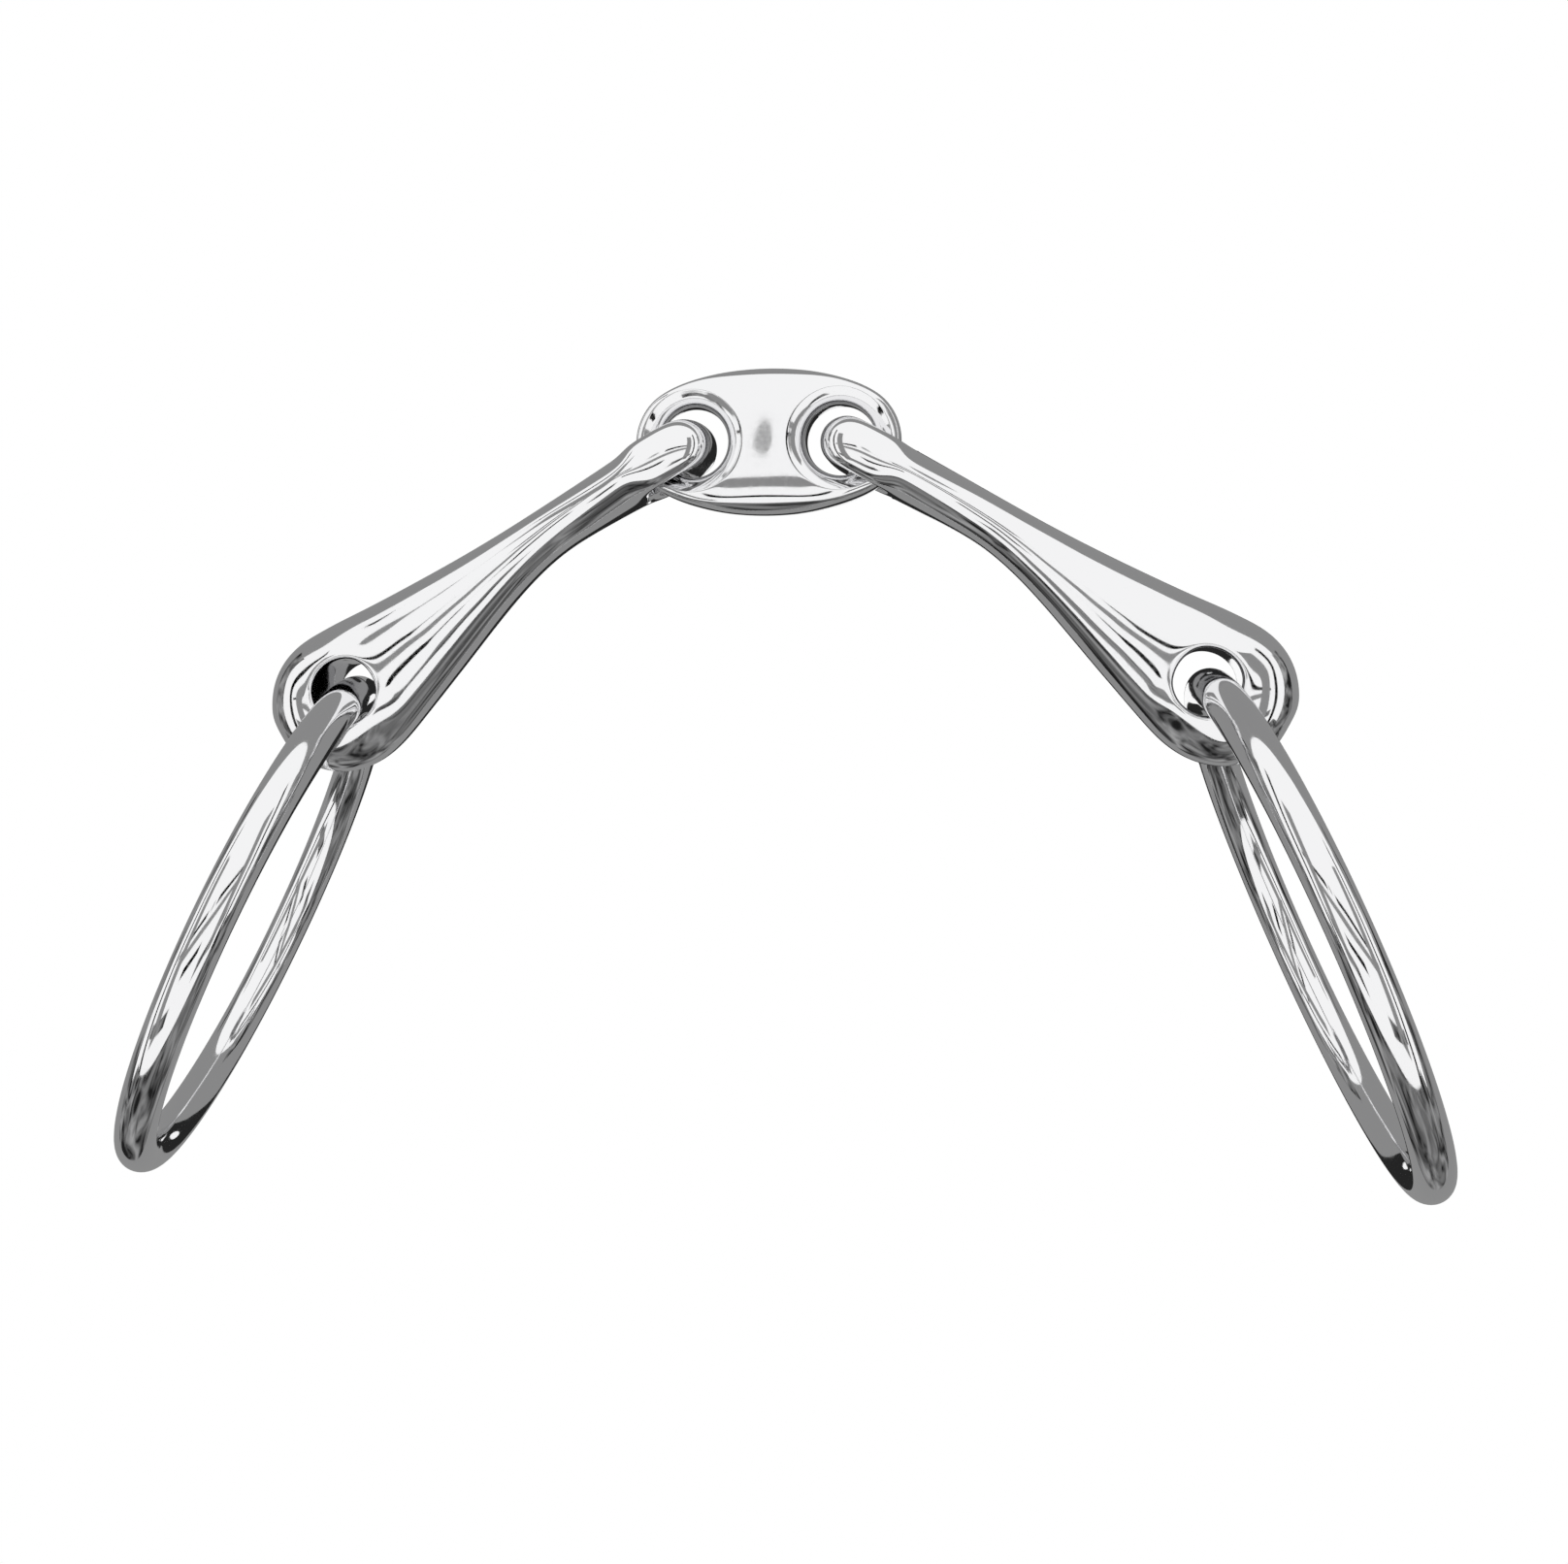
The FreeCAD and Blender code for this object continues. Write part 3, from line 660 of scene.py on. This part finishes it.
def make_link(name):
    """An eighth of the link from a grid, mirrored three ways and smoothed."""
    start_clean()
    bpy.ops.mesh.primitive_grid_add(
        x_subdivisions=6, y_subdivisions=3, size=2 * MM, rotation=UPRIGHT
    )
    link = named(name)
    settle()
    open_mesh()
    fit((6, 0, 3), half_x=6, half_z=3)  # the corners are now two millimetres apart
    pick(lambda p: 2 < p.x < 10 and p.z < 4, "FACE")  # these cover the hole
    bpy.ops.mesh.delete(type="FACE")
    outer = link_front()

    now = outer
    for degrees in ROLL_BACK:
        pick(on_outer_edge, "EDGE", border=True)
        push()
        move(x=ASIDE.x)
        new = rolled_back(outer, degrees)
        for old_corner, new_corner in zip(now, new):
            put(old_corner + ASIDE, new_corner)
        now = new

    pick(on_dish_edge, "EDGE", border=True)
    for wide, deep in ROLL_IN:
        push()
        scale(wide, deep, wide, centre=(DISH_X, 0, 0))
    close_mesh()
    mirrored(link, x=True, y=True, z=True)
    smooth(link, SMOOTH_LEVELS)
    outward(link)
    return link


finish_piece(make_link("link_centre"), "link", "centre_link")

# %% [markdown]
# ## Camera
# It stands a little to the right of the link and below it, about 280 mm away, with
# a normal lens. From here on, lengths are in metres.

# %% Camera
camera_data = bpy.data.cameras.new("camera")
camera_data.sensor_width = 36
camera_data.lens = 49.0099
camera_data.clip_start = 0.01
camera = bpy.data.objects.new("camera", camera_data)
bpy.context.scene.collection.objects.link(camera)
camera.location = (0.0387, -0.2724, -0.0392)
camera.rotation_euler = [math.radians(v) for v in (89.07, 0, 7.66)]
bpy.context.scene.camera = camera
print("camera", round(camera.location.length * 1000), "mm from the link")

# %% [markdown]
# ## Light
# Mirror steel shows only what stands round it. Here that is a plain white world
# that lights the steel from every side, with no lamp.

# %% White room
world = bpy.data.worlds.new("white_room")
bpy.context.scene.world = world
world.use_nodes = True
background = world.node_tree.nodes["Background"]
background.inputs["Color"].default_value = (1, 1, 1, 1)
background.inputs["Strength"].default_value = 1.0
bpy.context.scene.view_settings.view_transform = "Standard"
print("world:", world.name)


# %% [markdown]
# ## Card colours
# Grey and black cards give the steel its edges, as in a product shot. A card
# gives off its own colour, so it stays the same whatever the light, and some show
# dark cloth with the light and shade of its folds painted into that colour.

# %% Card colours
def card_colour(name, hex_colour):
    """A card's material: it gives off one colour, at strength 1."""
    colour = bpy.data.materials.new(name)
    colour.use_nodes = True
    tree = colour.node_tree
    tree.nodes.clear()
    glow = add_node(
        tree, "ShaderNodeEmission", values={"Color": linear(hex_colour), "Strength": 1.0}
    )
    add_node(tree, "ShaderNodeOutputMaterial", links={"Surface": glow.outputs["Emission"]})
    return colour


def dark_cloth_with_painted_fold_shade():
    """A dark cloth whose folds' light and shade, 170 mm and finer, are painted into its glow, from near black to
    mid grey.
    """
    colour = card_colour("dark_cloth_painted_fold_shade", "3C3C3C")
    tree = colour.node_tree
    place = add_node(tree, "ShaderNodeTexCoord")
    # painted light and shade of cloth folds: the noise runs the glow from near black to mid grey
    fold_light_and_shade = add_node(
        tree,
        "ShaderNodeTexNoise",
        values={"Scale": 6.0, "Detail": 2.5, "Distortion": 0.8},
        links={"Vector": place.outputs["Object"]},
    )
    shade = add_node(tree, "ShaderNodeValToRGB", links={"Fac": fold_light_and_shade.outputs["Fac"]})
    for stop, position, hex_colour in zip(
        shade.color_ramp.elements, (0.34, 0.72), ("1E1E1E", "A8A8A8")
    ):
        stop.position = position
        stop.color = linear(hex_colour)
    tree.links.new(shade.outputs["Color"], tree.nodes["Emission"].inputs["Color"])
    return colour


BLACK_CARD = card_colour("black_card", "0A0A0A")
DARK_CARD = card_colour("dark_card", "262626")
GREY_CARD = card_colour("grey_card", "8E8E8E")
PALE_CARD = card_colour("pale_grey_card", "ACACAC")
# a dark cloth glow with painted light and shade of folds
PAINTED_FOLD_SHADE_CLOTH = dark_cloth_with_painted_fold_shade()
print("card colours:", [m.name for m in (BLACK_CARD, DARK_CARD, GREY_CARD, PALE_CARD, PAINTED_FOLD_SHADE_CLOTH)])


# %% [markdown]
# ## Tools for the cards
# A card shows in the steel alone: the camera doesn't see it, and it neither
# lights nor shades the floor.

# %% Tools for the cards
SURROUND_MIDDLE = (0, 0.45, -0.04)


def only_in_reflections(made, colour):
    """Finishes a card; it isn't part of the bit."""
    made.data.materials.append(colour)
    made.visible_camera = False
    made.visible_diffuse = False
    made.visible_shadow = False


def card(name, middle, size, colour, tilt):
    """A rectangular card, tilted by degrees about x, y and z."""
    start_clean()
    bpy.ops.mesh.primitive_plane_add(
        size=1, location=middle, rotation=[math.radians(t) for t in tilt]
    )
    made = named(name)
    made.scale = (*size, 1)
    settle()
    only_in_reflections(made, colour)


def round_card(name, middle, radius, colour):
    """A round card that faces the bit."""
    start_clean()
    bpy.ops.mesh.primitive_circle_add(
        vertices=32, radius=radius, fill_type="NGON", location=middle, rotation=UPRIGHT
    )
    made = named(name)
    settle()
    only_in_reflections(made, colour)


def ring_card(name, outer, inner, colour):
    """A round card behind the bit, with a round opening."""
    start_clean()
    bpy.ops.mesh.primitive_circle_add(
        vertices=64, radius=outer, location=SURROUND_MIDDLE, rotation=UPRIGHT
    )
    made = named(name)
    settle()
    open_mesh()
    push()
    scale(inner / outer, 1, inner / outer, centre=Vector(SURROUND_MIDDLE) / MM)
    close_mesh()
    only_in_reflections(made, colour)


# %% [markdown]
# ## The cards
# Two surrounds behind the bit darken the steel's edges. The bars, sides and cloths
# in front, beside and below draw the dark lines along the blades and rings.

# %% The cards
FACING = (90, 0, 0)
LEVEL = (0, 0, 0)
# name, middle, width and height, colour, tilt
CARDS = [
    ("black_bar_left", (-0.635, -0.60, 0.078), (0.93, 0.045), BLACK_CARD, FACING),
    ("black_bar_right", (0.50, -0.60, 0.078), (1.0, 0.045), BLACK_CARD, FACING),
    ("grey_bar_middle", (0.1, -0.62, -0.03), (1.6, 0.07), GREY_CARD, FACING),
    ("black_bar_low", (-0.08, -0.60, -0.20), (0.34, 0.06), BLACK_CARD, FACING),
    # the cloth cards carry painted light and shade of folds
    ("dark_low_left", (-0.55, -0.45, -0.36), (0.7, 0.12), PAINTED_FOLD_SHADE_CLOTH, FACING),
    ("dark_low_right", (0.55, -0.45, -0.36), (0.7, 0.12), PAINTED_FOLD_SHADE_CLOTH, FACING),
    ("black_side_left", (-0.62, -0.25, 0), (0.10, 1.2), BLACK_CARD, (90, 0, 60)),
    ("black_side_right", (0.66, -0.25, 0), (0.10, 1.2), BLACK_CARD, (90, 0, -60)),
    ("dark_floor_cloth", (0, 0.05, -0.45), (1.8, 0.56), PAINTED_FOLD_SHADE_CLOTH, LEVEL),
    ("grey_ceiling", (0, 0.50, 0.55), (2.6, 1.0), GREY_CARD, LEVEL),
    ("grey_front_left", (-0.55, -0.50, 0), (0.20, 1.0), GREY_CARD, (90, 0, -48)),
    ("grey_front_right", (0.58, -0.48, 0), (0.20, 1.0), GREY_CARD, (90, 0, 50)),
    ("dark_end_left", (-0.75, 0.10, 0), (0.30, 1.0), PAINTED_FOLD_SHADE_CLOTH, (90, 0, -98)),
    ("dark_end_right", (0.75, 0.10, 0), (0.30, 1.0), PAINTED_FOLD_SHADE_CLOTH, (90, 0, 98)),
]
ring_card("grey_surround", 1.8, 0.19, GREY_CARD)
ring_card("dark_surround", 0.19, 0.045, DARK_CARD)
round_card("grey_patch", (-0.09, -0.60, 0.088), 0.024, PALE_CARD)
for row in CARDS:
    card(*row)


# %% [markdown]
# ## Plain pale floor
# White paper, far below the bit. The camera, and rays that the steel reflects,
# see it as plain white; any other light meets ordinary matt paper.

# %% Plain pale floor
FLOOR_SIZE = 6
FLOOR_PLACE = (0, 0, -0.6)


def white_paper():
    paper = bpy.data.materials.new("white_paper_floor")
    paper.use_nodes = True
    tree = paper.node_tree
    matt = tree.nodes["Principled BSDF"]
    matt.inputs["Base Color"].default_value = linear("FAFAFA")
    matt.inputs["Roughness"].default_value = 1.0
    ray = add_node(tree, "ShaderNodeLightPath")
    seen = ray.outputs["Is Camera Ray"]
    for kind in ("Is Glossy Ray", "Is Transmission Ray"):
        either = add_node(
            tree,
            "ShaderNodeMath",
            settings={"operation": "MAXIMUM"},
            links={0: seen, 1: ray.outputs[kind]},
        )
        seen = either.outputs[0]
    white = add_node(
        tree, "ShaderNodeEmission", values={"Color": (1, 1, 1, 1), "Strength": 1.0}
    )
    mixed = add_node(
        tree,
        "ShaderNodeMixShader",
        links={"Fac": seen, 1: matt.outputs["BSDF"], 2: white.outputs["Emission"]},
    )
    tree.links.new(mixed.outputs["Shader"], tree.nodes["Material Output"].inputs["Surface"])
    return paper


start_clean()
bpy.ops.mesh.primitive_plane_add(size=FLOOR_SIZE, location=FLOOR_PLACE)
floor = named("floor")
floor.data.materials.append(white_paper())
print("floor:", floor.data.materials[0].name)
